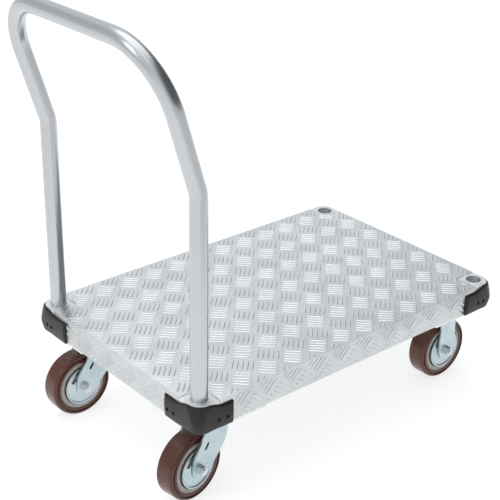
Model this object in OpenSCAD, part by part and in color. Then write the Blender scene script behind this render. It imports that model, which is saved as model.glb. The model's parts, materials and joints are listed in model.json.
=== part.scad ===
// Flatbed platform truck with a tread-plate deck, a lift-out tube handle,
// two swivel casters at the handle end and two rigid casters at the far end.
// Millimetres, +Z up. The floor is Z = 0, +X runs along the deck away from
// the handle, and the origin is under the middle of the overall box.

/* [Deck] */
// Length of the deck over the skirts
deck_l = 740; // [700:5:900]
// Width of the deck over the skirts
deck_w = 480; // [450:5:600]
// Height of the deck surface above the floor
deck_z = 216; // [214:1:230]
// Depth of the folded skirts
skirt_h = 50; // [46:1:56]
// Thickness of the deck sheet
sheet_t = 2.5; // [2:0.5:3]
// Distance between the cross channels under the deck
channel_pitch = 130; // [110:5:150]

/* [Corner castings] */
// Post socket centre, measured in from the end of the deck
sock_a = 24; // [23:0.5:26]
// Post socket centre, measured in from the side of the deck
sock_b = 26; // [24:0.5:28]
// Outer radius of the socket ring
ring_r = 22; // [21:0.5:22]
// Depth of the post socket
sock_depth = 40; // [36:1:42]
// Length of the caster plate along the deck
plate_l = 158; // [150:1:165]
// Length of the caster plate across the deck
plate_w = 134; // [128:1:140]

/* [Bumpers] */
// Thickness of the rubber bumper
bump_t = 5.5; // [4:0.5:7]
// Length of the bumper along the side of the deck
bump_s = 75; // [72:1:84]
// Length of the bumper along the end of the deck
bump_e = 87; // [86:1:94]

/* [Handle] */
// Outside diameter of the handle tube
tube_d = 30; // [28:0.5:30]
// Wall thickness of the handle tube
tube_wall = 2; // [1.5:0.5:3]
// Height of the handle's bend above the deck
bend_h = 367; // [300:1:450]
// Angle of the upper part towards the operator
bend_deg = 17.4; // [8:0.1:25]
// Length from the bend to the top bar
upper_l = 249; // [200:1:320]
// Radius of the bend between post and upper part
bend_r = 60; // [45:1:120]
// Radius of the two top corners
top_r = 109; // [80:1:130]

/* [Casters] */
// Wheel diameter
wheel_d = 125; // [120:1:125]
// Wheel tread width
tread_w = 38; // [32:1:38]
// Rigid caster centre, measured in from the end of the deck
piv_a = 68; // [66:1:72]
// Swivel axis, measured in from the handle end of the deck
piv_s = 77; // [74:1:80]
// Caster centre, measured in from the side of the deck
piv_b = 69; // [67:1:72]
// Trail of the swivel casters
trail = 48; // [44:1:50]
// Rest angle of the right-hand swivel caster
swivel_rest = 8; // [0:1:12]
// Gap between the fork legs
fork_gap = 48; // [48:1:52]
// Thickness of the fork legs
leg_t = 3.5; // [3:0.5:4]

/* [Hidden] */
$fn = 64;
wr = wheel_d / 2;
tr = tube_d / 2;
hx = deck_l / 2;
hy = deck_w / 2;
skirt_z = deck_z - skirt_h;          // lower edge of the skirts
cast_t = 5;                          // casting's caster plate
cast_z = skirt_z - cast_t;           // top of the caster head plates
head_t = 4;                          // caster head plate
head_z = cast_z - head_t;            // underside of the head plates
crown_t = 4;                         // fork crown
crown_z = head_z - 17;               // top of the fork crown
crown_b = crown_z - crown_t;         // underside of the fork crown
corner_r = 24;                       // plan radius of the casting's corner
notch_a = sock_a + ring_r + 0.5;     // deck notch, along the deck
notch_b = sock_b + ring_r + 0.5;     // deck notch, across the deck
bore_r = tr + 0.35;                  // post socket bore
post_x = -hx + sock_a;
post_y = hy - sock_b;
// the overall box runs from the top bar to the far bumpers
x_low = post_x - upper_l * sin(bend_deg) - tr;
x_high = hx + bump_t;
shift_x = -(x_low + x_high) / 2;
head_l = 105;                        // head plate, along the deck
head_w = 84;                         // head plate, across the deck
bolt_a = 42;                         // head plate bolts, half spacing
bolt_b = 30;
leg_in = fork_gap / 2;
leg_out = leg_in + leg_t;
bend_full = 0.12;                    // bends swell this much in radius
run_in = 1;                          // straight lengths enter the bends

// ---------- placing ----------
// Corner frame: origin at the sharp corner of the deck on the floor,
// +X inwards along the deck, +Y inwards across it.
// sx is -1 at the handle end and +1 at the far end, sy is +1 on the left.
module at_corner(sx, sy) {
    translate([shift_x + sx * hx, sy * hy, 0])
        mirror([sx > 0 ? 1 : 0, 0, 0]) mirror([0, sy > 0 ? 1 : 0, 0]) children();
}
// Caster frame: origin on the swivel axis at the floor. The wheel trails
// along +X of this frame, turned by rest degrees.
function pa(sx) = sx < 0 ? piv_s : piv_a;
module at_caster(sx, sy, rest = 0) {
    translate([shift_x + sx * (hx - pa(sx)), sy * (hy - piv_b), 0])
        rotate([0, 0, sx < 0 ? 180 + rest : 180]) children();
}
// Wheel frame: origin at the wheel centre, axle along Y.
module at_wheel(sx, sy, rest = 0) {
    at_caster(sx, sy, rest) translate([sx < 0 ? trail : 0, 0, wr]) children();
}
// Round bar along Y from y0 to y1.
module bar_y(r, y0, y1) {
    translate([0, y0, 0]) rotate([-90, 0, 0]) cylinder(r = r, h = y1 - y0);
}
// Turned part about Y: the profile is in (radius, y).
module turned_y() {
    rotate([-90, 0, 0]) rotate_extrude() children();
}

// ---------- deck ----------
module deck_outline(inset) {
    difference() {
        square([deck_l - 2 * inset, deck_w - 2 * inset], center = true);
        for (i = [-1, 1], j = [-1, 1])
            translate([i * hx, j * hy]) square([2 * notch_a, 2 * notch_b], center = true);
    }
}
module deck_pan() {
    color([0.80, 0.81, 0.82]) translate([shift_x, 0, 0]) difference() {
        translate([0, 0, skirt_z]) linear_extrude(skirt_h) deck_outline(0);
        translate([0, 0, skirt_z - 1]) linear_extrude(skirt_h - sheet_t + 1)
            square([deck_l - 2 * sheet_t, deck_w - 2 * sheet_t], center = true);
        // screw holes behind the bumpers
        for (c = corners) for (s = screw_at(c))
            if (s[1] > notch_a) pan_corner(c[0], c[1]) screw_axis(s[0], s[1]) cylinder(r = 2.1, h = 12, center = true);
    }
}
module pan_corner(sx, sy) {
    translate([sx * hx, sy * hy, 0])
        mirror([sx > 0 ? 1 : 0, 0, 0]) mirror([0, sy > 0 ? 1 : 0, 0]) children();
}
module cross_channel(x) {
    // folded channel, open towards the deck
    color([0.72, 0.73, 0.74]) translate([shift_x + x, 0, deck_z - sheet_t]) difference() {
        translate([-22, -hy + sheet_t, -25]) cube([44, deck_w - 2 * sheet_t, 25]);
        translate([-19.5, -hy, -22.5]) cube([39, deck_w, 24]);
        // drain holes in the foot
        for (j = [-1, 1]) translate([0, j * 150, -30]) cylinder(r = 6, h = 10);
    }
}

// ---------- corners ----------
corners = [[-1, 1], [-1, -1], [1, -1], [1, 1]];
// Bumper screws: [face, distance from the corner]; face 0 is the side of the
// deck and face 1 its end. The rear right bumper has its screws further out.
function bolt_at(sx) = sx < 0 ? [13, 80] : [40, 121];
function screw_at(c) = (c[0] < 0 && c[1] < 0)
    ? [[0, 41.5], [0, 60], [1, 59], [1, 76]]
    : [[0, 26], [0, 41], [1, 29], [1, 43]];
screw_z = skirt_z + 15;
// A screw's axis: +Z of the child frame points out of the face.
module screw_axis(face, d) {
    if (face == 0) translate([d, 0, screw_z]) rotate([90, 0, 0]) children();
    else translate([0, d, screw_z]) rotate([0, -90, 0]) children();
}
// Rounded outer corner: everything inside the two outer planes, out to l.
module corner_area(la, lb, r, out = 0) {
    translate([r - out, r - out]) circle(r = r);
    translate([r - out, -out]) square([la - r + out, lb + out]);
    translate([-out, r - out]) square([la + out, lb - r + out]);
}
module corner_casting(c) {
    sx = c[0]; sy = c[1];
    color([0.74, 0.75, 0.76]) at_corner(sx, sy) difference() {
        union() {
            // caster plate under the skirts
            difference() {
                translate([0, 0, cast_z]) linear_extrude(cast_t) difference() {
                    translate([1.5, 1.5]) corner_area(plate_l - 1.5, plate_w - 1.5, corner_r);
                    translate([plate_l, plate_w]) rotate(45) square([28, 28], center = true);
                    translate([plate_l, 1.5]) rotate(45) square([10, 10], center = true);
                }
            }
            // socket
            translate([sock_a, sock_b, cast_z]) cylinder(r = 20, h = deck_z - cast_z - 1);
            // ring flush with the deck, and the rounded corner beside it
            translate([sock_a, sock_b, deck_z - 8]) cylinder(r = ring_r, h = 8);
            translate([0, 0, cast_z]) linear_extrude(deck_z - cast_z) intersection() {
                corner_area(60, 60, corner_r);
                square([sock_a, sock_b]);
            }
            // arms behind the bumper, outside the notch and inside the skirt
            translate([0, 0, cast_z]) linear_extrude(46) {
                translate([sock_a, 0]) square([notch_a - sock_a - 0.5, 8]);
                translate([sock_a, sheet_t + 0.2]) square([bump_s - sock_a, 5.3]);
                translate([0, sock_b]) square([8, notch_b - sock_b - 0.5]);
                translate([sheet_t + 0.2, sock_b]) square([5.3, bump_e - sock_b]);
            }
            // bosses for the caster bolts
            for (i = [-1, 1], j = [-1, 1])
                translate([pa(sx) + i * bolt_a, piv_b + j * bolt_b, cast_z]) cylinder(r = 9, h = 13);
            translate([bolt_at(sx)[0], bolt_at(sx)[1], cast_z]) cylinder(r = 7.5, h = 12);
            // land between the ring and the edges of the deck's notch
            translate([0, 0, deck_z - 9]) linear_extrude(8.4) intersection() {
                corner_area(60, 60, corner_r);
                square([notch_a - 0.6, notch_b - 0.6]);
            }
            // ribs from the socket over the plate
            translate([sock_a + 12, sock_b - 2.5, cast_z]) rotate([90, 0, 0]) mirror([0, 0, 1])
                linear_extrude(5) polygon([[0, 0], [90, 0], [90, 7], [8, 44], [0, 44]]);
            translate([sock_a + 2.5, sock_b + 12, cast_z]) rotate([90, 0, -90]) mirror([1, 0, 0])
                linear_extrude(5) polygon([[0, 0], [80, 0], [80, 7], [8, 44], [0, 44]]);
        }
        // post socket
        translate([sock_a, sock_b, deck_z - sock_depth]) cylinder(r = bore_r, h = sock_depth + 1);
        // caster bolt holes
        for (i = [-1, 1], j = [-1, 1])
            translate([pa(sx) + i * bolt_a, piv_b + j * bolt_b, cast_z - 1]) cylinder(r = 4, h = 11.5);
        translate([bolt_at(sx)[0], bolt_at(sx)[1], cast_z - 1]) cylinder(r = 4, h = 11);
        // bumper screw holes
        for (s = screw_at(c)) screw_axis(s[0], s[1]) translate([0, 0, -7.2]) cylinder(r = 2, h = 12);
    }
}
module bumper(c) {
    sx = c[0]; sy = c[1];
    color([0.16, 0.155, 0.15]) at_corner(sx, sy) difference() {
        translate([0, 0, skirt_z - 2]) linear_extrude(skirt_h - 1) difference() {
            corner_area(bump_s, bump_e, corner_r + 1, bump_t);
            translate([-0.06, -0.06]) corner_area(bump_s + 1, bump_e + 1, corner_r);
        }
        // the top edge falls away towards both ends
        translate([bump_s - 26, -20, deck_z - 3]) rotate([0, 15, 0]) cube([60, 40, 20]);
        translate([-20, bump_e - 26, deck_z - 3]) rotate([-15, 0, 0]) cube([40, 60, 20]);
        for (s = screw_at(c)) screw_axis(s[0], s[1]) {
            translate([0, 0, -1]) cylinder(r = 2.1, h = 12);
            translate([0, 0, 2]) cylinder(r = 3.6, h = 12);
        }
    }
}
module bumper_screws() {
    color([0.12, 0.12, 0.12]) for (c = corners) for (s = screw_at(c)) at_corner(c[0], c[1]) screw_axis(s[0], s[1]) {
        translate([0, 0, -7]) cylinder(r = 1.95, h = 9.05);
        difference() {
            translate([0, 0, 2.05]) cylinder(r = 3.2, h = 1.8);
            translate([0, 0, 3]) cylinder(r = 1.4, h = 3, $fn = 6);
        }
    }
}
module casting_bolts() {
    color([0.72, 0.74, 0.76]) for (c = corners) at_corner(c[0], c[1])
        translate([bolt_at(c[0])[0], bolt_at(c[0])[1], cast_z]) {
        cylinder(r = 3.9, h = 9.5);
        translate([0, 0, -1.5]) cylinder(r = 8, h = 1.4);
        translate([0, 0, -7]) cylinder(r = 7.5, h = 5.4, $fn = 6);
        translate([0, 0, -2]) cylinder(r = 3.9, h = 2.5);
    }
}
module caster_bolts() {
    color([0.72, 0.74, 0.76]) for (c = corners) at_corner(c[0], c[1])
        for (i = [-1, 1], j = [-1, 1])
            translate([pa(c[0]) + i * bolt_a, piv_b + j * bolt_b, head_z]) {
                cylinder(r = 3.9, h = 13);
                translate([0, 0, -1.6]) cylinder(r = 8, h = 1.5);
                translate([0, 0, -7]) cylinder(r = 7.5, h = 5.4, $fn = 6);
                translate([0, 0, -2]) cylinder(r = 3.9, h = 2.5);
            }
}

// ---------- handle ----------
// Half of the tube's run at radius r, on the s side, from foot_z to the
// end of the top corner. Its frame has the post axis as Z and the deck
// surface as Z = 0. The bends are a touch fuller than the straight lengths,
// which run a little way into them.
module half_run(s, r, foot_z) {
    t1 = bend_r * tan(bend_deg / 2);
    rb = r + bend_full;
    translate([0, 0, foot_z]) cylinder(r = r, h = bend_h - t1 - foot_z + run_in);
    // bend towards the operator
    translate([-bend_r, 0, bend_h - t1]) rotate([90, 0, 0])
        rotate_extrude(angle = bend_deg) translate([bend_r, 0]) circle(r = rb);
    translate([0, 0, bend_h]) rotate([0, -bend_deg, 0]) {
        translate([0, 0, t1 - run_in]) cylinder(r = r, h = upper_l - top_r - t1 + 2 * run_in);
        // top corner
        translate([0, -s * top_r, upper_l - top_r]) rotate([90, 0, s * 90])
            rotate_extrude(angle = 90) translate([top_r, 0]) circle(r = rb);
    }
}
module tube_run(r, foot_z) {
    translate([shift_x + post_x, 0, deck_z]) {
        for (s = [-1, 1]) translate([0, s * post_y, 0]) half_run(s, r, foot_z);
        // top bar
        translate([0, 0, bend_h]) rotate([0, -bend_deg, 0])
            translate([0, 0, upper_l]) bar_y(r, -post_y + top_r - run_in, post_y - top_r + run_in);
    }
}
module handle_tube() {
    color([0.78, 0.79, 0.80]) difference() {
        tube_run(tr, -sock_depth + 3);
        tube_run(tr - tube_wall, -sock_depth + 2);
    }
}
module handle_foot_plugs() {
    color([0.15, 0.15, 0.15]) for (j = [-1, 1])
        translate([shift_x + post_x, j * post_y, deck_z - sock_depth + 0.3]) {
            cylinder(r = tr - 0.5, h = 2.7);
            translate([0, 0, 2]) cylinder(r = tr - tube_wall - 0.02, h = 14);
        }
}

// ---------- swivel casters ----------
module rounded_plate(l, w, r, t) {
    linear_extrude(t) {
        square([l - 2 * r, w], center = true);
        square([l, w - 2 * r], center = true);
        for (i = [-1, 1], j = [-1, 1]) translate([i * (l / 2 - r), j * (w / 2 - r)]) circle(r = r);
    }
}
module head_plate() {
    difference() {
        translate([0, 0, head_z]) rounded_plate(head_l, head_w, 8, head_t);
        for (i = [-1, 1], j = [-1, 1])
            translate([i * bolt_a, j * bolt_b, head_z - 1]) cylinder(r = 4.4, h = head_t + 2);
    }
}
module swivel_head(sx, sy) {
    color([0.74, 0.79, 0.81]) at_caster(sx, sy) difference() {
        union() {
            head_plate();
            // raceway cup pressed under the plate
            translate([0, 0, head_z - 9]) rotate_extrude()
                polygon([[34.6, 0], [37.2, 0], [38.4, 5], [38.4, 9.5], [26, 9.5], [26, 8], [34.6, 5.4]]);
            translate([0, 0, head_z - 3]) cylinder(r = 14, h = 4);
        }
        translate([0, 0, head_z - 30]) cylinder(r = 6, h = 60);
    }
}
module king_pin(sx, sy) {
    color([0.62, 0.65, 0.67]) at_caster(sx, sy) {
        translate([0, 0, crown_b - 0.5]) cylinder(r = 5.95, h = cast_z - crown_b);
        translate([0, 0, crown_b - 5.8]) cylinder(r1 = 7.5, r2 = 10.5, h = 3);
        translate([0, 0, crown_b - 2.85]) cylinder(r = 10.5, h = 2.5);
    }
}
module swivel_balls(sx, sy, rest) {
    color([0.80, 0.81, 0.82]) at_caster(sx, sy, rest) translate([0, 0, crown_z + 9]) {
        for (i = [0:17]) rotate(i * 20) translate([30, 0, 0]) sphere(r = 3);
        // cage ring
        rotate_extrude() translate([30, 0]) square([2.2, 2.4], center = true);
    }
}
module leg_profile(raked) {
    if (raked) {
        polygon([[-22, crown_b + 2], [30, crown_b + 2], [32, wr + 67.5], [trail + 10, wr + 30.5], [trail + 16, wr + 19.5],
            [trail + 18, wr], [trail, wr], [trail, wr - 18], [trail - 14, wr - 16], [trail - 27, wr - 10.5],
            [trail - 29.5, wr - 4.1], [-5, wr + 19.5], [-14, wr + 30.5], [-22, wr + 52.5]]);
        translate([trail, wr]) circle(r = 18);
    } else {
        translate([-21, wr]) square([42, head_z + 2 - wr]);
        translate([-19, wr - 6]) square([38, 10]);
        translate([0, wr]) circle(r = 20);
    }
}
module fork_legs(raked) {
    difference() {
        for (s = [-1, 1]) translate([0, s < 0 ? -leg_in : leg_out, 0]) rotate([90, 0, 0])
            linear_extrude(leg_t) leg_profile(raked);
        // axle hole and the slot in each leg
        translate([raked ? trail : 0, 0, wr]) bar_y(5.2, -40, 40);
        if (raked) for (k = [-4.8, 4.8])
            translate([31 - 0.57 * k, 0, wr + 40 + 0.82 * k]) bar_y(2.7, -40, 40);
        if (raked) translate([31, -40, wr + 40]) rotate([0, -34.8, 0]) translate([-2.7, 0, -4.8]) cube([5.4, 80, 9.6]);
    }
}
module swivel_fork(sx, sy, rest) {
    color([0.74, 0.79, 0.81]) at_caster(sx, sy, rest) difference() {
        union() {
            fork_legs(true);
            // crown between the legs, round in plan
            translate([0, 0, crown_b]) linear_extrude(crown_t) intersection() {
                union() { circle(r = 38); translate([0, -leg_out]) square([30, 2 * leg_out]); }
                translate([-60, -leg_out]) square([120, 2 * leg_out]);
            }
            // lower raceway
            translate([0, 0, crown_z - 0.5]) rotate_extrude()
                polygon([[20, 0], [34, 0], [34, 3], [32, 6.2], [25, 6.2], [20, 3]]);
        }
        translate([0, 0, crown_b - 1]) cylinder(r = 6.02, h = 30);
    }
}

// ---------- rigid casters ----------
module rigid_fork(sx, sy) {
    color([0.74, 0.79, 0.81]) at_caster(sx, sy) {
        head_plate();
        fork_legs(false);
        // web between the legs under the head plate
        translate([-21, -leg_in - 1, head_z - 3]) cube([42, 2 * leg_in + 2, 3.5]);
    }
}

// ---------- wheels ----------
module axle_bolt(sx, sy, rest) {
    color([0.72, 0.74, 0.76]) at_wheel(sx, sy, rest) {
        bar_y(4.98, -leg_out - 1, leg_out + 12.5);
        translate([0, -leg_out - 6.6, 0]) rotate([-90, 0, 0]) cylinder(r = 9.2, h = 6.5, $fn = 6);
    }
}
module axle_nut(sx, sy, rest) {
    color([0.80, 0.82, 0.84]) at_wheel(sx, sy, rest) difference() {
        union() {
            translate([0, leg_out + 1.7, 0]) rotate([-90, 0, 0]) cylinder(r = 9.2, h = 8, $fn = 6);
            bar_y(10, leg_out + 0.1, leg_out + 1.7);
        }
        bar_y(5.03, 20, 50);
    }
}
module axle_sleeve(sx, sy, rest) {
    color([0.55, 0.57, 0.58]) at_wheel(sx, sy, rest) difference() {
        bar_y(7.45, -leg_in + 0.1, leg_in - 0.1);
        bar_y(5.1, -30, 30);
    }
}
module thread_guard() {
    difference() {
        turned_y() polygon([[7.5, 23.0], [11, 23.0], [16, 22.2], [22, 20.0], [30, 18.6], [34.5, 18.7], [36.6, 20.4], [38.2, 20.6],
            [38.2, 21.9], [36.0, 21.8], [33.8, 19.9], [30.2, 19.8], [22.4, 21.2], [16.4, 23.4], [11.2, 23.8], [7.5, 23.8]]);
        // arc window in the bowl, forward and up from the axle
        rotate([0, -25, 0]) rotate([-90, 0, 0]) translate([0, 0, 10]) rotate_extrude(angle = -48)
            translate([22.5, 0]) square([6, 20]);
    }
}
module thread_guards(sx, sy, rest) {
    color([0.76, 0.81, 0.83]) at_wheel(sx, sy, rest) {
        thread_guard();
        mirror([0, 1, 0]) thread_guard();
    }
}
module one_bearing() {
    // inner ring, dished shields and outer ring as one turned part
    turned_y() polygon([[7.5, 8], [9.9, 8], [9.9, 8.5], [15.2, 8.5], [15.2, 8], [17.5, 8],
        [17.5, 18], [15.2, 18], [15.2, 17.2], [9.9, 17.2], [9.9, 18], [7.5, 18]]);
}
module wheel_bearings(sx, sy, rest) {
    color([0.62, 0.64, 0.66]) at_wheel(sx, sy, rest) {
        one_bearing();
        mirror([0, 1, 0]) one_bearing();
    }
}
module wheel_core(sx, sy, rest) {
    hw = tread_w / 2;
    color([0.56, 0.53, 0.50]) at_wheel(sx, sy, rest) turned_y()
        polygon([[17.5, -18], [22.5, -18], [24, -7], [38.6, -6], [39.4, -hw + 2.2], [40.4, -hw + 1.2],
            [48, -hw + 1.2], [48, hw - 1.2], [40.4, hw - 1.2], [39.4, hw - 2.2], [38.6, 6], [24, 7], [22.5, 18], [17.5, 18]]);
}
module wheel_tread(sx, sy, rest) {
    hw = tread_w / 2;
    color([0.35, 0.20, 0.17]) at_wheel(sx, sy, rest) turned_y()
        polygon([[48, -hw + 0.6], [48.8, -hw + 0.2], [53.2, -hw + 0.2], [54, -hw + 2.6], [56.2, -hw + 2.6], [57, -hw],
            [58.8, -hw], [wr - 0.9, -hw + 2.2], [wr - 0.15, -hw + 4.5], [wr, -hw + 8], [wr, hw - 8], [wr - 0.15, hw - 4.5],
            [wr - 0.9, hw - 2.2], [58.8, hw], [57, hw], [56.2, hw - 2.6], [54, hw - 2.6], [53.2, hw - 0.2],
            [48.8, hw - 0.2], [48, hw - 0.6]]);
}

// ---------- assembly ----------
rl = [-1, 1]; rr = [-1, -1]; fr = [1, -1]; fl = [1, 1];
sr = swivel_rest;
deck_pan();
cross_channel(-channel_pitch);  // cross_channel_handle_end
cross_channel(0);  // cross_channel_middle
cross_channel(channel_pitch);  // cross_channel_far_end
corner_casting(rl);  // corner_casting_rear_left
corner_casting(rr);  // corner_casting_rear_right
corner_casting(fr);  // corner_casting_front_right
corner_casting(fl);  // corner_casting_front_left
bumper(rl);  // bumper_rear_left
bumper(rr);  // bumper_rear_right
bumper(fr);  // bumper_front_right
bumper(fl);  // bumper_front_left
bumper_screws();
casting_bolts();
caster_bolts();
handle_tube();
handle_foot_plugs();
swivel_head(-1, 1);  // swivel_head_rear_left
swivel_head(-1, -1);  // swivel_head_rear_right
king_pin(-1, 1);  // king_pin_rear_left
king_pin(-1, -1);  // king_pin_rear_right
swivel_balls(-1, 1, 0);  // swivel_balls_rear_left
swivel_balls(-1, -1, sr);  // swivel_balls_rear_right
swivel_fork(-1, 1, 0);  // swivel_fork_rear_left
swivel_fork(-1, -1, sr);  // swivel_fork_rear_right
rigid_fork(1, -1);  // rigid_fork_front_right
rigid_fork(1, 1);  // rigid_fork_front_left
axle_bolt(-1, 1, 0);  // axle_bolt_rear_left
axle_bolt(-1, -1, sr);  // axle_bolt_rear_right
axle_bolt(1, -1, 0);  // axle_bolt_front_right
axle_bolt(1, 1, 0);  // axle_bolt_front_left
axle_nut(-1, 1, 0);  // axle_nut_rear_left
axle_nut(-1, -1, sr);  // axle_nut_rear_right
axle_nut(1, -1, 0);  // axle_nut_front_right
axle_nut(1, 1, 0);  // axle_nut_front_left
axle_sleeve(-1, 1, 0);  // axle_sleeve_rear_left
axle_sleeve(-1, -1, sr);  // axle_sleeve_rear_right
axle_sleeve(1, -1, 0);  // axle_sleeve_front_right
axle_sleeve(1, 1, 0);  // axle_sleeve_front_left
thread_guards(-1, 1, 0);  // thread_guards_rear_left
thread_guards(-1, -1, sr);  // thread_guards_rear_right
thread_guards(1, -1, 0);  // thread_guards_front_right
thread_guards(1, 1, 0);  // thread_guards_front_left
wheel_bearings(-1, 1, 0);  // wheel_bearings_rear_left
wheel_bearings(-1, -1, sr);  // wheel_bearings_rear_right
wheel_bearings(1, -1, 0);  // wheel_bearings_front_right
wheel_bearings(1, 1, 0);  // wheel_bearings_front_left
wheel_core(-1, 1, 0);  // wheel_core_rear_left
wheel_core(-1, -1, sr);  // wheel_core_rear_right
wheel_core(1, -1, 0);  // wheel_core_front_right
wheel_core(1, 1, 0);  // wheel_core_front_left
wheel_tread(-1, 1, 0);  // wheel_tread_rear_left
wheel_tread(-1, -1, sr);  // wheel_tread_rear_right
wheel_tread(1, -1, 0);  // wheel_tread_front_right
wheel_tread(1, 1, 0);  // wheel_tread_front_left
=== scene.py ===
import json
import math
import bmesh
import bpy
from mathutils import Matrix, Vector


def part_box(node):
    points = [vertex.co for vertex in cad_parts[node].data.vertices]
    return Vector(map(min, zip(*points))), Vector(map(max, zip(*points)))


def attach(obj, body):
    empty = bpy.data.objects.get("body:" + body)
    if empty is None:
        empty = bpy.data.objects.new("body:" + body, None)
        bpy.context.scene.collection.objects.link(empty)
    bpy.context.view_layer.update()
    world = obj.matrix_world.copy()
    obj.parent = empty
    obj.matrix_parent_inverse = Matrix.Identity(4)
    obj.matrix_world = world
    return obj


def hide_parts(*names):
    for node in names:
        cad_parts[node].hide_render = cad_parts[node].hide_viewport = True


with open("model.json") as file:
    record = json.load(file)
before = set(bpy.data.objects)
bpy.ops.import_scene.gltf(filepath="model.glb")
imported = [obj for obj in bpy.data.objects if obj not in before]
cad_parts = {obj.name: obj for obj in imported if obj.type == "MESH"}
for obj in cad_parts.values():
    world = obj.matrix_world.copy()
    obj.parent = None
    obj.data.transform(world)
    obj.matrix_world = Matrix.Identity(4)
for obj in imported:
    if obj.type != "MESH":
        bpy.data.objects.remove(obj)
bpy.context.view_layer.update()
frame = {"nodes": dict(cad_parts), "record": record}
NODES = frame["nodes"]
MM = 0.001

# ---------------------------------------------------------------- places
lo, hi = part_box("deck_pan")
DX0, DX1, DY0, DY1, DTOP, DBOT = lo[0], hi[0], lo[1], hi[1], hi[2], lo[2]
CX = (DX0 + DX1) / 2
HX, HY = (DX1 - DX0) / 2, (DY1 - DY0) / 2


# ---------------------------------------------------------------- materials
def node_tree(name):
    m = bpy.data.materials.new(name)
    m.use_nodes = True
    nt = m.node_tree
    nt.nodes.clear()
    out = nt.nodes.new("ShaderNodeOutputMaterial")
    p = nt.nodes.new("ShaderNodeBsdfPrincipled")
    nt.links.new(p.outputs["BSDF"], out.inputs["Surface"])
    return m, nt, p


def noise(nt, coord, scale, detail=4.0, rough=0.55, stretch=None):
    src = coord
    if stretch:
        mp = nt.nodes.new("ShaderNodeMapping")
        mp.inputs["Scale"].default_value = stretch
        nt.links.new(coord, mp.inputs["Vector"])
        src = mp.outputs["Vector"]
    n = nt.nodes.new("ShaderNodeTexNoise")
    n.inputs["Scale"].default_value = scale
    n.inputs["Detail"].default_value = detail
    n.inputs["Roughness"].default_value = rough
    nt.links.new(src, n.inputs["Vector"])
    return n.outputs["Fac"]


def ramp(nt, fac, stops):
    r = nt.nodes.new("ShaderNodeValToRGB")
    e = r.color_ramp.elements
    e[0].position, e[0].color = stops[0][0], (*stops[0][1], 1)
    e[1].position, e[1].color = stops[-1][0], (*stops[-1][1], 1)
    for pos, c in stops[1:-1]:
        k = e.new(pos)
        k.color = (*c, 1)
    nt.links.new(fac, r.inputs["Fac"])
    return r.outputs["Color"]


def span(nt, fac, a, b, lo_=0.3, hi_=0.7):
    m = nt.nodes.new("ShaderNodeMapRange")
    m.inputs["From Min"].default_value = lo_
    m.inputs["From Max"].default_value = hi_
    m.inputs["To Min"].default_value = a
    m.inputs["To Max"].default_value = b
    nt.links.new(fac, m.inputs["Value"])
    return m.outputs["Result"]


def math_node(nt, op, a, b=None, clamp=False):
    n = nt.nodes.new("ShaderNodeMath")
    n.operation = op
    n.use_clamp = clamp
    for i, v_ in enumerate((a, b)):
        if v_ is None:
            continue
        if isinstance(v_, (int, float)):
            n.inputs[i].default_value = v_
        else:
            nt.links.new(v_, n.inputs[i])
    return n.outputs["Value"]


def surface(name, stops, rough, metallic=0.0, big=18.0, fine=600.0, bump=0.1, dist=0.0002,
            stretch=None, coat=0.0, coat_rough=0.1, spec=0.5, uv=False, ior=1.5, upright_shade=1.0):
    """Colour from broad noise, roughness from middle noise, bump from fine noise."""
    m, nt, p = node_tree(name)
    tc = nt.nodes.new("ShaderNodeTexCoord")
    co = tc.outputs["UV"] if uv else tc.outputs["Object"]
    colour = ramp(nt, noise(nt, co, big, 5.0, 0.6, stretch), stops)
    if upright_shade < 1.0:
        # painted shade: upright faces get a darker colour than level ones, standing in for the sides catching less
        # light
        nz = nt.nodes.new("ShaderNodeSeparateXYZ")
        nt.links.new(tc.outputs["Normal"], nz.inputs["Vector"])
        k = span(nt, math_node(nt, "ABSOLUTE", nz.outputs["Z"]), upright_shade, 1.0, 0.35, 0.75)
        sc = nt.nodes.new("ShaderNodeVectorMath")
        sc.operation = "SCALE"
        nt.links.new(colour, sc.inputs[0])
        nt.links.new(k, sc.inputs["Scale"])
        colour = sc.outputs["Vector"]
    nt.links.new(colour, p.inputs["Base Color"])
    nt.links.new(span(nt, noise(nt, co, big * 6.0, 5.0, 0.6, stretch), rough[0], rough[1]), p.inputs["Roughness"])
    b = nt.nodes.new("ShaderNodeBump")
    b.inputs["Strength"].default_value = bump
    b.inputs["Distance"].default_value = dist
    nt.links.new(noise(nt, co, fine, 3.0, 0.5, stretch), b.inputs["Height"])
    nt.links.new(b.outputs["Normal"], p.inputs["Normal"])
    p.inputs["Metallic"].default_value = metallic
    p.inputs["Specular IOR Level"].default_value = spec
    p.inputs["IOR"].default_value = ior
    p.inputs["Coat Weight"].default_value = coat
    p.inputs["Coat Roughness"].default_value = coat_rough
    return m


M = {}
# the upright factor darkens the colour of the upright skirts and the bars on them: painted shade
M["tread_plate"] = surface("tread_plate", [(0.30, (0.68, 0.70, 0.715)), (0.52, (0.76, 0.78, 0.79)), (0.72, (0.83, 0.845, 0.855))],
                           (0.27, 0.42), 1.0, big=14, fine=420, bump=0.06, dist=0.0002, upright_shade=0.80)
M["tread_bar"] = surface("tread_bar", [(0.30, (0.72, 0.74, 0.75)), (0.70, (0.85, 0.865, 0.87))],
                         (0.24, 0.36), 1.0, big=30, fine=700, bump=0.03, dist=0.0001, upright_shade=0.86)
M["channel_aluminium"] = surface("channel_aluminium", [(0.30, (0.60, 0.61, 0.62)), (0.70, (0.74, 0.75, 0.76))],
                                 (0.34, 0.5), 1.0, big=22, fine=700, bump=0.1, stretch=(1, 0.15, 1))
M["cast_aluminium"] = surface("cast_aluminium", [(0.28, (0.72, 0.735, 0.75)), (0.50, (0.83, 0.84, 0.85)), (0.72, (0.92, 0.925, 0.93))],
                              (0.40, 0.58), 0.88, big=45, fine=420, bump=0.22, dist=0.0005)
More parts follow.
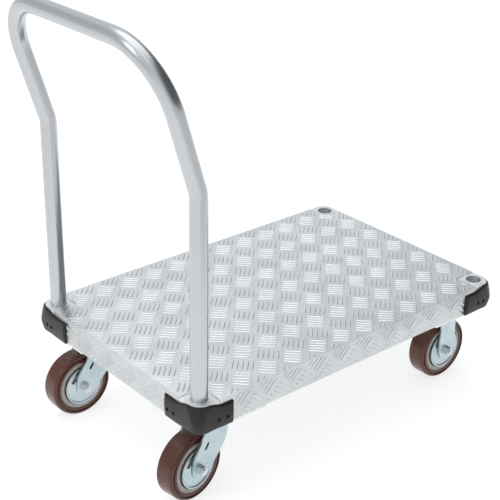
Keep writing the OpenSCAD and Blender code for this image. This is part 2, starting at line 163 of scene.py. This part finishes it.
M["handle_tube"] = surface("handle_tube", [(0.28, (0.53, 0.552, 0.575)), (0.52, (0.56, 0.58, 0.602)), (0.74, (0.60, 0.616, 0.634))],
                           (0.23, 0.29), 1.0, big=26, fine=700, bump=0.012, dist=0.0001, stretch=(6, 0.6, 1), uv=True)
M["bumper_rubber"] = surface("bumper_rubber", [(0.28, (0.012, 0.009, 0.008)), (0.55, (0.020, 0.015, 0.014)), (0.80, (0.036, 0.027, 0.024))],
                             (0.30, 0.46), 0.0, big=30, fine=500, bump=0.05, dist=0.0003, spec=0.20, coat=0.22, coat_rough=0.14)
M["black_steel"] = surface("black_steel", [(0.30, (0.010, 0.010, 0.010)), (0.70, (0.022, 0.022, 0.022))],
                           (0.45, 0.6), 0.3, big=200, fine=2000, bump=0.1)
M["black_plastic"] = surface("black_plastic", [(0.30, (0.015, 0.015, 0.015)), (0.70, (0.03, 0.03, 0.03))],
                             (0.45, 0.6), 0.0, big=80, fine=1500, bump=0.1)
M["zinc_pressings"] = surface("zinc_pressings", [(0.26, (0.42, 0.53, 0.57)), (0.48, (0.52, 0.63, 0.665)), (0.62, (0.60, 0.68, 0.70)), (0.78, (0.66, 0.70, 0.67))],
                              (0.24, 0.40), 0.92, big=20, fine=800, bump=0.12, dist=0.0002)
M["zinc_fasteners"] = surface("zinc_fasteners", [(0.28, (0.62, 0.66, 0.69)), (0.55, (0.74, 0.77, 0.80)), (0.76, (0.84, 0.85, 0.84))],
                              (0.34, 0.48), 0.92, big=120, fine=700, bump=0.02)
M["machined_steel"] = surface("machined_steel", [(0.30, (0.48, 0.49, 0.50)), (0.70, (0.62, 0.62, 0.62))],
                              (0.2, 0.34), 1.0, big=120, fine=1600, bump=0.08)
M["wheel_core"] = surface("wheel_core", [(0.28, (0.34, 0.315, 0.305)), (0.55, (0.41, 0.385, 0.375)), (0.76, (0.47, 0.445, 0.43))],
                          (0.40, 0.55), 0.0, big=60, fine=900, bump=0.12, spec=0.5)
M["wheel_tread"] = surface("wheel_tread", [(0.22, (0.082, 0.025, 0.014)), (0.52, (0.098, 0.031, 0.018)), (0.82, (0.118, 0.040, 0.025))],
                           (0.18, 0.30), 0.0, big=9, fine=700, bump=0.03, dist=0.0001, coat=0.14, coat_rough=0.07, spec=0.40)


def paint(obj, mat):
    obj.data.materials.clear()
    obj.data.materials.append(mat)


for s in frame["record"]["subparts"]:
    o = NODES[s["node"]]
    for i in range(max(1, len(o.material_slots))):
        if i < len(o.material_slots):
            o.material_slots[i].material = M[s["material_slot"]]


# ---------------------------------------------------------------- small tools
def new_mesh(name, verts, faces, mat, body, smooth=True):
    me = bpy.data.meshes.new(name)
    me.from_pydata([tuple(v) for v in verts], [], faces)
    me.validate()
    me.update()
    o = bpy.data.objects.new(name, me)
    bpy.context.scene.collection.objects.link(o)
    me.materials.append(mat)
    for p in me.polygons:
        p.use_smooth = smooth
    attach(o, body)
    return o


def fix_normals(me):
    bm = bmesh.new()
    bm.from_mesh(me)
    bmesh.ops.recalc_face_normals(bm, faces=bm.faces)
    bm.to_mesh(me)
    bm.free()


def clean_copy(node, name, mat, body, bevel=0.0, segs=3, angle=30):
    """A copy of a CAD node with its flat faces made whole and its edges rounded."""
    me = NODES[node].data.copy()
    me.name = name
    bm = bmesh.new()
    bm.from_mesh(me)
    bmesh.ops.remove_doubles(bm, verts=bm.verts, dist=2e-6)
    bmesh.ops.dissolve_limit(bm, angle_limit=math.radians(1.0), verts=bm.verts, edges=bm.edges)
    bm.to_mesh(me)
    bm.free()
    o = bpy.data.objects.new(name, me)
    bpy.context.scene.collection.objects.link(o)
    me.materials.clear()
    me.materials.append(mat)
    if bevel:
        b = o.modifiers.new("edges", "BEVEL")
        b.width = bevel
        b.segments = segs
        b.limit_method = "ANGLE"
        b.angle_limit = math.radians(angle)
        b.harden_normals = True
    for p in me.polygons:
        p.use_smooth = True
    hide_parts(node)
    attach(o, body)
    return o


# ---------------------------------------------------------------- deck sheet
deck = clean_copy("deck_pan", "deck_sheet", M["tread_plate"], "deck", bevel=0.0016, segs=3, angle=50)


# ---------------------------------------------------------------- tread bars
def bar_shape(length, width, height, n=20):
    """Lens-shaped bar: rings of (along, across, up)."""
    rings = []
    for k, (sw, sl, h) in enumerate([(1.0, 1.0, -0.15 * MM), (0.96, 0.985, 0.16 * height), (0.82, 0.94, 0.50 * height),
                                     (0.58, 0.84, 0.79 * height), (0.30, 0.70, 0.95 * height), (0.06, 0.54, height)]):
        ring = []
        for i in range(n):
            t = 2 * math.pi * i / n
            c, s = math.cos(t), math.sin(t)
            along = math.copysign(abs(c) ** 0.85, c) * length / 2 * sl
            across = math.copysign(abs(s) ** 1.25, s) * width / 2 * sw
            ring.append((along, across, h))
        rings.append(ring)
    return rings


PX, PY = 58.8 * MM, 68.4 * MM
OX, OY = CX - 16.3 * MM, -7.0 * MM
BAR_L, BAR_W, BAR_H, PITCH = 34.5 * MM, 4.3 * MM, 1.10 * MM, 8.9 * MM
COVER_SIDE, COVER_END = 76 * MM, 88 * MM


def panels():
    """Each panel: test rectangle in unfolded x, y and a map into space."""
    m = 2.2 * MM
    yield ("top", DX0 + m, DX1 - m, DY0 + m, DY1 - m, lambda x, y: (Vector((x, y, DTOP)), Vector((1, 0, 0)), Vector((0, 1, 0)), Vector((0, 0, 1))))
    h = 50 * MM
    d0, d1 = 2.6 * MM, h - 1.2 * MM
    yield ("right", DX0 + COVER_SIDE, DX1 - COVER_SIDE, DY0 - d1, DY0 - d0,
           lambda x, y: (Vector((x, DY0, DTOP + (y - DY0))), Vector((1, 0, 0)), Vector((0, 0, 1)), Vector((0, -1, 0))))
    yield ("left", DX0 + COVER_SIDE, DX1 - COVER_SIDE, DY1 + d0, DY1 + d1,
           lambda x, y: (Vector((x, DY1, DTOP - (y - DY1))), Vector((1, 0, 0)), Vector((0, 0, -1)), Vector((0, 1, 0))))
    yield ("rear", DX0 - d1, DX0 - d0, DY0 + COVER_END, DY1 - COVER_END,
           lambda x, y: (Vector((DX0, y, DTOP + (x - DX0))), Vector((0, 0, 1)), Vector((0, 1, 0)), Vector((-1, 0, 0))))
    yield ("front", DX1 + d0, DX1 + d1, DY0 + COVER_END, DY1 - COVER_END,
           lambda x, y: (Vector((DX1, y, DTOP - (x - DX1))), Vector((0, 0, -1)), Vector((0, 1, 0)), Vector((1, 0, 0))))


NA, NB = 48.0 * MM, 50.0 * MM


def in_notch(x, y):
    return (x < DX0 + NA or x > DX1 - NA) and (y < DY0 + NB or y > DY1 - NB)


def clip(a, b, x0, x1, y0, y1):
    """Part of the segment a-b inside the rectangle."""
    t0, t1 = 0.0, 1.0
    d = (b[0] - a[0], b[1] - a[1])
    for i, (l_, h_) in enumerate(((x0, x1), (y0, y1))):
        if abs(d[i]) < 1e-12:
            if not l_ <= a[i] <= h_:
                return None
            continue
        u, v = (l_ - a[i]) / d[i], (h_ - a[i]) / d[i]
        if u > v:
            u, v = v, u
        t0, t1 = max(t0, u), min(t1, v)
    if t0 >= t1:
        return None
    return ((a[0] + d[0] * t0, a[1] + d[1] * t0), (a[0] + d[0] * t1, a[1] + d[1] * t1))


def tread():
    verts, faces = [], []
    r2 = math.sqrt(0.5)
    bars = []
    for i in range(-9, 10):
        for j in range(-6, 7):
            for cx, cy, ux, uy in ((OX + i * PX, OY + j * PY, r2, -r2), (OX + (i + 0.5) * PX, OY + (j + 0.5) * PY, r2, r2)):
                for k in range(-2, 3):
                    bx, by = cx + k * PITCH * uy * (-1 if uy < 0 else 1), cy + k * PITCH * ux * (1 if uy < 0 else -1)
                    bars.append((bx, by, ux, uy))
    for name, x0, x1, y0, y1, place in panels():
        for bx, by, ux, uy in bars:
            h = BAR_L / 2
            seg = clip((bx - ux * h, by - uy * h), (bx + ux * h, by + uy * h), x0, x1, y0, y1)
            if not seg:
                continue
            if name == "top":
                # shorten at the socket cut-outs
                pts = [(seg[0][0] + (seg[1][0] - seg[0][0]) * t / 24, seg[0][1] + (seg[1][1] - seg[0][1]) * t / 24) for t in range(25)]
                pts = [p for p in pts if not in_notch(*p)]
                if len(pts) < 6:
                    continue
                seg = (pts[0], pts[-1])
            ln = math.hypot(seg[1][0] - seg[0][0], seg[1][1] - seg[0][1])
            if ln < 8 * MM:
                continue
            mx, my = (seg[0][0] + seg[1][0]) / 2, (seg[0][1] + seg[1][1]) / 2
            o, ax, ay, nz = place(mx, my)
            al = ax * ux + ay * uy
            ac = nz.cross(al)
            base = len(verts)
            # rolled plate is never perfectly even
            wob = math.sin(bx * 911.0 + by * 577.0) * 0.5 + math.sin(bx * 173.0 - by * 349.0) * 0.5
            rings = bar_shape(ln, BAR_W * (0.75 + 0.25 * ln / BAR_L) * (1 + 0.05 * wob),
                              BAR_H * (0.7 + 0.3 * ln / BAR_L) * (1 + 0.14 * wob))
            n = len(rings[0])
            for ring in rings:
                for (s, w, u) in ring:
                    verts.append(o + al * s + ac * w + nz * u)
            for r in range(len(rings) - 1):
                for q in range(n):
                    q2 = (q + 1) % n
                    faces.append((base + r * n + q, base + r * n + q2, base + (r + 1) * n + q2, base + (r + 1) * n + q))
            top = base + (len(rings) - 1) * n
            faces.append(tuple(top + q for q in range(n)))
            faces.append(tuple(base + q for q in reversed(range(n))))
    return verts, faces


v, f = tread()
bars = new_mesh("tread_bars", v, f, M["tread_bar"], "deck")
fix_normals(bars.data)


# ---------------------------------------------------------------- push handle
def arc(c, a, b, r, ang, n):
    """Points round c from direction a towards direction b."""
    return [c + (a * math.cos(ang * i / n) + b * math.sin(ang * i / n)) * r for i in range(n + 1)]


def handle_path():
    px = CX - 346 * MM
    py, bend_h, lean, up, br, tr = 214 * MM, 367 * MM, math.radians(17.4), 249 * MM, 60 * MM, 109 * MM
    foot = DTOP - 37 * MM
    zb = DTOP + bend_h
    t1 = br * math.tan(lean / 2)
    d = Vector((-math.sin(lean), 0, math.cos(lean)))
    pts = []
    for s in (1, -1):
        half = [Vector((px, s * py, foot))]
        n0 = 24
        half += [Vector((px, s * py, foot + (zb - t1 - foot) * (i + 1) / n0)) for i in range(n0)]
        half += arc(Vector((px - br, s * py, zb - t1)), Vector((1, 0, 0)), Vector((0, 0, 1)), br, lean, 12)[1:]
        v0 = Vector((px, s * py, zb))
        half += [v0 + d * (t1 + (up - tr - t1) * (i + 1) / 10) for i in range(10)]
        c = v0 + d * (up - tr) + Vector((0, -s * tr, 0))
        half += arc(c, Vector((0, s, 0)), d, tr, math.pi / 2, 28)[1:]
        pts.append(half)
    mid = [Vector((pts[0][-1].x, (105 - 210 * (i + 1) / 12) * MM, pts[0][-1].z)) for i in range(11)]
    return pts[0] + mid + pts[1][::-1]


def sweep(name, path, r, mat, body, n=56):
    verts, faces, lens = [], [], [0.0]
    for a, b in zip(path, path[1:]):
        lens.append(lens[-1] + (b - a).length)
    t_prev, up = None, None
    for i, p in enumerate(path):
        t = (path[min(i + 1, len(path) - 1)] - path[max(i - 1, 0)]).normalized()
        if up is None:
            up = Vector((1, 0, 0))
        else:
            up = t_prev.rotation_difference(t) @ up
        up = (up - t * up.dot(t)).normalized()
        side = t.cross(up)
        for k in range(n):
            a = 2 * math.pi * k / n
            verts.append(p + (up * math.cos(a) + side * math.sin(a)) * r)
        t_prev = t
    for i in range(len(path) - 1):
        for k in range(n):
            k2 = (k + 1) % n
            faces.append((i * n + k, i * n + k2, (i + 1) * n + k2, (i + 1) * n + k))
    faces.append(tuple(reversed(range(n))))
    faces.append(tuple((len(path) - 1) * n + k for k in range(n)))
    o = new_mesh(name, verts, faces, mat, body)
    uv = o.data.uv_layers.new(name="UVMap")
    for poly in o.data.polygons:
        ring0 = min(v_ // n for v_ in poly.vertices)
        ks = [v_ % n for v_ in poly.vertices]
        wrap = (max(ks) - min(ks)) > n / 2
        for li, v_ in zip(poly.loop_indices, poly.vertices):
            k = v_ % n
            if wrap and k == 0:
                k = n
            uv.data[li].uv = (k / n * 2 * math.pi * r * 10, lens[v_ // n] * 10)
    return o


handle = sweep("handle_bent_tube", handle_path(), 15 * MM, M["handle_tube"], "handle")
fix_normals(handle.data)
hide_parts("handle_tube")


# ---------------------------------------------------------------- corner bumpers
def bumper(node, sx, sy, holes):
    blo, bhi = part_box(node)
    la = (bhi[0] - blo[0]) - 5.5 * MM
    lb = (bhi[1] - blo[1]) - 5.5 * MM
    T = 5.5 * MM
    z0, z1 = blo[2] - 1.6 * MM, bhi[2] + 0.2 * MM
    ri = 24.05 * MM
    stations = []
    n1, n2 = 26, 22
    for i in range(n1 + 1):
        s = i / n1
        stations.append(("a", la + (ri - la) * s))
    for i in range(1, n2 + 1):
        stations.append(("c", i / n2))
    for i in range(1, n1 + 1):
        s = i / n1
        stations.append(("b", ri + (lb - ri) * s))

    def inner(st):
        k, t = st
        if k == "a":
            return Vector((t, 0.05 * MM)), Vector((0, -1)), la - t
        if k == "b":
            return Vector((0.05 * MM, t)), Vector((-1, 0)), lb - t
        a = -math.pi / 2 - t * math.pi / 2
        n = Vector((math.cos(a), math.sin(a)))
        return Vector((ri, ri)) + n * (ri - 0.05 * MM), n, 1.0

    def outer(st, z):
        # the plan corner is rounder at the top than at the bottom
        k, t = st
        f = (z - z0) / (z1 - z0)
        ro = (17 + 13 * max(0.0, f - 0.35) / 0.65 + 5 * max(0.0, 0.35 - f) / 0.35) * MM
        if k == "a":
            x = t
        elif k == "b":
            x = t
        if k == "c":
            a = -math.pi / 2 - t * math.pi / 2
            n = Vector((math.cos(a), math.sin(a)))
            return Vector((ro - T, ro - T)) + n * ro
        # straight run from the end of the face to the start of the arc
        full = la if k == "a" else lb
        u = (full - t) / (full - ri)
        w = full + ((ro - T) - full) * u
        return Vector((w, -T)) if k == "a" else Vector((-T, w))

    def swell(f):
        # convex from top to bottom, fullest a little above the middle
        return 1.0 - (0.30 * ((f - 0.6) / 0.4) ** 2.0 if f > 0.6 else 0.42 * ((0.6 - f) / 0.6) ** 2.6)

    prof = []
    nr = 5
    for i in range(nr + 1):
        a = math.pi / 2 * i / nr
        prof.append((1 - 0.55 * (1 - math.sin(a)), math.cos(a)))
    verts, faces = [], []
    rows = []
    for st in stations:
        p_in, n_in, end = inner(st)
        dist_c = 0.0 if st[0] == "c" else (st[1] - ri)
        # upper edge: high round the ring, lower along the faces
        drop = 7.5 * MM * min(1.0, max(0.0, dist_c / (26 * MM))) ** 1.2
        zt = z1 - drop
        zb = z0 + 0.6 * MM * math.sin(min(1.0, dist_c / (30 * MM)) * math.pi)
        e = min(1.0, max(0.0, end / (2.2 * MM)))
        thick_end = 0.55 + 0.45 * math.sqrt(max(0.0, 1 - (1 - e) ** 2))
        row = []
        row.append((p_in, zb))
        R = 2.6 * MM
        for i in range(nr + 1):
            a = math.pi / 2 * i / nr
            z = zb + R * (1 - math.cos(a))
            k = 0.5 + 0.5 * math.sin(a)
            o_ = outer(st, z)
            row.append((p_in + (o_ - p_in) * k * thick_end * swell((z - zb) / (zt - zb)), z))
        for i in range(1, 10):
            z = zb + R + (zt - zb - 2 * R) * i / 10
            row.append((p_in + (outer(st, z) - p_in) * thick_end * swell((z - zb) / (zt - zb)), z))
        for i in range(nr, -1, -1):
            a = math.pi / 2 * i / nr
            z = zt - R * (1 - math.cos(a))
            k = 0.5 + 0.5 * math.sin(a)
            row.append((p_in + (outer(st, z) - p_in) * k * thick_end * swell((z - zb) / (zt - zb)), z))
        row.append((p_in, zt))
        rows.append(row)
    ex = DX0 if sx < 0 else DX1
    ey = DY0 if sy < 0 else DY1
    for row in rows:
        for (p, z) in row:
            verts.append(Vector((ex - sx * p.x, ey - sy * p.y, z)))
    m = len(rows[0])
    for i in range(len(rows) - 1):
        for k in range(m):
            k2 = (k + 1) % m
            faces.append((i * m + k, i * m + k2, (i + 1) * m + k2, (i + 1) * m + k))
    faces.append(tuple(reversed(range(m))))
    faces.append(tuple((len(rows) - 1) * m + k for k in range(m)))
    o = new_mesh(node + "_moulding", verts, faces, M["bumper_rubber"], "deck")
    fix_normals(o.data)
    # screw recesses
    bm = bmesh.new()
    for face, d in holes:
        mat = Matrix.Rotation(math.pi / 2, 4, "X") if face == 0 else Matrix.Rotation(math.pi / 2, 4, "Y")
        loc = Vector((ex - sx * d, ey + sy * 4 * MM, DBOT + 15 * MM)) if face == 0 else Vector((ex + sx * 4 * MM, ey - sy * d, DBOT + 15 * MM))
        bmesh.ops.create_cone(bm, cap_ends=True, segments=28, radius1=3.8 * MM, radius2=3.8 * MM, depth=12 * MM,
                              matrix=Matrix.Translation(loc) @ mat)
    cm = bpy.data.meshes.new(node + "_cut")
    bm.to_mesh(cm)
    bm.free()
    c = bpy.data.objects.new(node + "_cut", cm)
    bpy.context.scene.collection.objects.link(c)
    b = o.modifiers.new("holes", "BOOLEAN")
    b.object = c
    b.operation = "DIFFERENCE"
    b.solver = "EXACT"
    dg = bpy.context.evaluated_depsgraph_get()
    me = bpy.data.meshes.new_from_object(o.evaluated_get(dg))
    o.modifiers.clear()
    old = o.data
    o.data = me
    bpy.data.meshes.remove(old)
    bpy.data.objects.remove(c)
    for p in o.data.polygons:
        p.use_smooth = True
    o.data.set_sharp_from_angle(angle=math.radians(50))
    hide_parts(node)
    return o


H_STD = [(0, 26 * MM), (0, 41 * MM), (1, 29 * MM), (1, 43 * MM)]
H_RR = [(0, 41.5 * MM), (0, 60 * MM), (1, 59 * MM), (1, 76 * MM)]
bumper("bumper_rear_left", -1, 1, H_STD)
bumper("bumper_rear_right", -1, -1, H_RR)
bumper("bumper_front_right", 1, -1, H_STD)
bumper("bumper_front_left", 1, 1, H_STD)

# ---------------------------------------------------------------- floor
bpy.ops.mesh.primitive_plane_add(size=24, location=(3.0, 3.0, 0))
floor = bpy.context.object
floor.name = "studio_floor"
fm, nt, p = node_tree("studio_floor")
tc = nt.nodes.new("ShaderNodeTexCoord")
nt.links.new(ramp(nt, noise(nt, tc.outputs["Object"], 1.2, 2.0), [(0.3, (0.42, 0.42, 0.42)), (0.7, (0.46, 0.46, 0.46))]), p.inputs["Base Color"])
p.inputs["Roughness"].default_value = 0.9
p.inputs["Specular IOR Level"].default_value = 0.1
p.inputs["Emission Color"].default_value = (1, 1, 1, 1)
# painted glow: the white board is given emission as if lit from below, in a wedge that widens away from the front; its
# margins glow less, a painted shade that makes them greyer
gp = nt.nodes.new("ShaderNodeSeparateXYZ")
nt.links.new(nt.nodes.new("ShaderNodeNewGeometry").outputs["Position"], gp.inputs["Vector"])
along = math_node(nt, "ADD", math_node(nt, "MULTIPLY", gp.outputs["X"], 0.6534), math_node(nt, "MULTIPLY", gp.outputs["Y"], 0.7570))
cross_ = math_node(nt, "MULTIPLY", -1.0, math_node(nt, "ADD", math_node(nt, "MULTIPLY", gp.outputs["X"], -0.7570), math_node(nt, "MULTIPLY", gp.outputs["Y"], 0.6534)))
wide = math_node(nt, "MAXIMUM", math_node(nt, "ADD", along, 2.2), 0.3)
across = math_node(nt, "DIVIDE", cross_, wide)
parts_ = []
for value, end in ((across, 0.60), (math_node(nt, "MULTIPLY", across, -1.0), 0.88)):
    fl = nt.nodes.new("ShaderNodeMapRange")
    fl.interpolation_type = "SMOOTHSTEP"
    fl.inputs["From Min"].default_value = 0.29
    fl.inputs["From Max"].default_value = 0.80
    fl.inputs["To Min"].default_value = 1.0
    fl.inputs["To Max"].default_value = end
    nt.links.new(value, fl.inputs["Value"])
    parts_.append(fl.outputs["Result"])
nt.links.new(math_node(nt, "MULTIPLY", math_node(nt, "MULTIPLY", parts_[0], parts_[1]), 0.74), p.inputs["Emission Strength"])
paint(floor, fm)

# ---------------------------------------------------------------- camera
yaw, pitch, roll = math.radians(49.19695), math.radians(25.67904), math.radians(0.96572)
fw = Vector((math.cos(pitch) * math.cos(yaw), math.cos(pitch) * math.sin(yaw), -math.sin(pitch)))
rt = fw.cross(Vector((0, 0, 1))).normalized()
up = rt.cross(fw)
r2 = rt * math.cos(roll) + up * math.sin(roll)
u2 = -rt * math.sin(roll) + up * math.cos(roll)
cam_data = bpy.data.cameras.new("camera")
cam_data.sensor_fit = "HORIZONTAL"
cam_data.sensor_width = 36.0
cam_data.lens = 1248.531 * 36.0 / 500.0
cam_data.clip_end = 100
cam = bpy.data.objects.new("camera", cam_data)
bpy.context.scene.collection.objects.link(cam)
cam.matrix_world = Matrix(((r2.x, u2.x, -fw.x, -1.433666 + CX), (r2.y, u2.y, -fw.y, -1.596384), (r2.z, u2.z, -fw.z, 1.118264 + DTOP), (0, 0, 0, 1)))
bpy.context.scene.camera = cam


# ---------------------------------------------------------------- light
def area(name, loc, target, size, power, colour=(1, 1, 1), size_y=None):
    l_ = bpy.data.lights.new(name, "AREA")
    l_.shape = "RECTANGLE"
    l_.size = size
    l_.size_y = size_y or size
    l_.energy = power
    l_.color = colour
    o = bpy.data.objects.new(name, l_)
    bpy.context.scene.collection.objects.link(o)
    o.location = loc
    o.rotation_euler = (Vector(target) - Vector(loc)).to_track_quat("-Z", "Y").to_euler()
    return o


area("overhead", (0.1, 0.2, 3.0), (0, 0, 0.2), 2.6, 12, size_y=2.0)
area("key_left", (-3.0, 0.4, 2.3), (0, 0, 0.3), 0.8, 9, size_y=1.3)


# a light tent: bright overhead and behind, greyer to both sides
w = bpy.data.worlds.new("studio")
bpy.context.scene.world = w
w.use_nodes = True
wn = w.node_tree
wn.nodes.clear()
wo = wn.nodes.new("ShaderNodeOutputWorld")
bg = wn.nodes.new("ShaderNodeBackground")
tc = wn.nodes.new("ShaderNodeTexCoord")
sep = wn.nodes.new("ShaderNodeSeparateXYZ")
wn.links.new(tc.outputs["Generated"], sep.inputs["Vector"])
side = math_node(wn, "ADD", math_node(wn, "MULTIPLY", sep.outputs["X"], 0.757),
                 math_node(wn, "MULTIPLY", sep.outputs["Y"], -0.653))


def falloff(value, lo_, hi_, end):
    n = wn.nodes.new("ShaderNodeMapRange")
    n.interpolation_type = "SMOOTHSTEP"
    n.inputs["From Min"].default_value = lo_
    n.inputs["From Max"].default_value = hi_
    n.inputs["To Min"].default_value = 1.0
    n.inputs["To Max"].default_value = end
    wn.links.new(value, n.inputs["Value"])
    return n.outputs["Result"]


level = math_node(wn, "MULTIPLY", falloff(side, -0.04, 0.74, 0.16),
                  falloff(math_node(wn, "MULTIPLY", side, -1.0), 0.40, 0.80, 0.78))
r = wn.nodes.new("ShaderNodeValToRGB")
e = r.color_ramp.elements
e[0].position, e[0].color = 0.0, (0.41, 0.425, 0.435, 1)
e[1].position, e[1].color = 1.0, (0.36, 0.37, 0.375, 1)
for pos, c in ((0.25, (0.390, 0.408, 0.420, 1)), (0.45, (0.355, 0.372, 0.384, 1)), (0.60, (0.375, 0.390, 0.400, 1)), (0.74, (0.42, 0.432, 0.44, 1)), (0.85, (0.60, 0.612, 0.62, 1)), (0.95, (0.53, 0.542, 0.55, 1))):
    k = e.new(pos)
    k.color = c
wn.links.new(sep.outputs["Z"], r.inputs["Fac"])
wn.links.new(r.outputs["Color"], bg.inputs["Color"])
wn.links.new(math_node(wn, "MULTIPLY", level, 2.10), bg.inputs["Strength"])
wn.links.new(bg.outputs["Background"], wo.inputs["Surface"])
bpy.context.scene.view_settings.view_transform = "Standard"
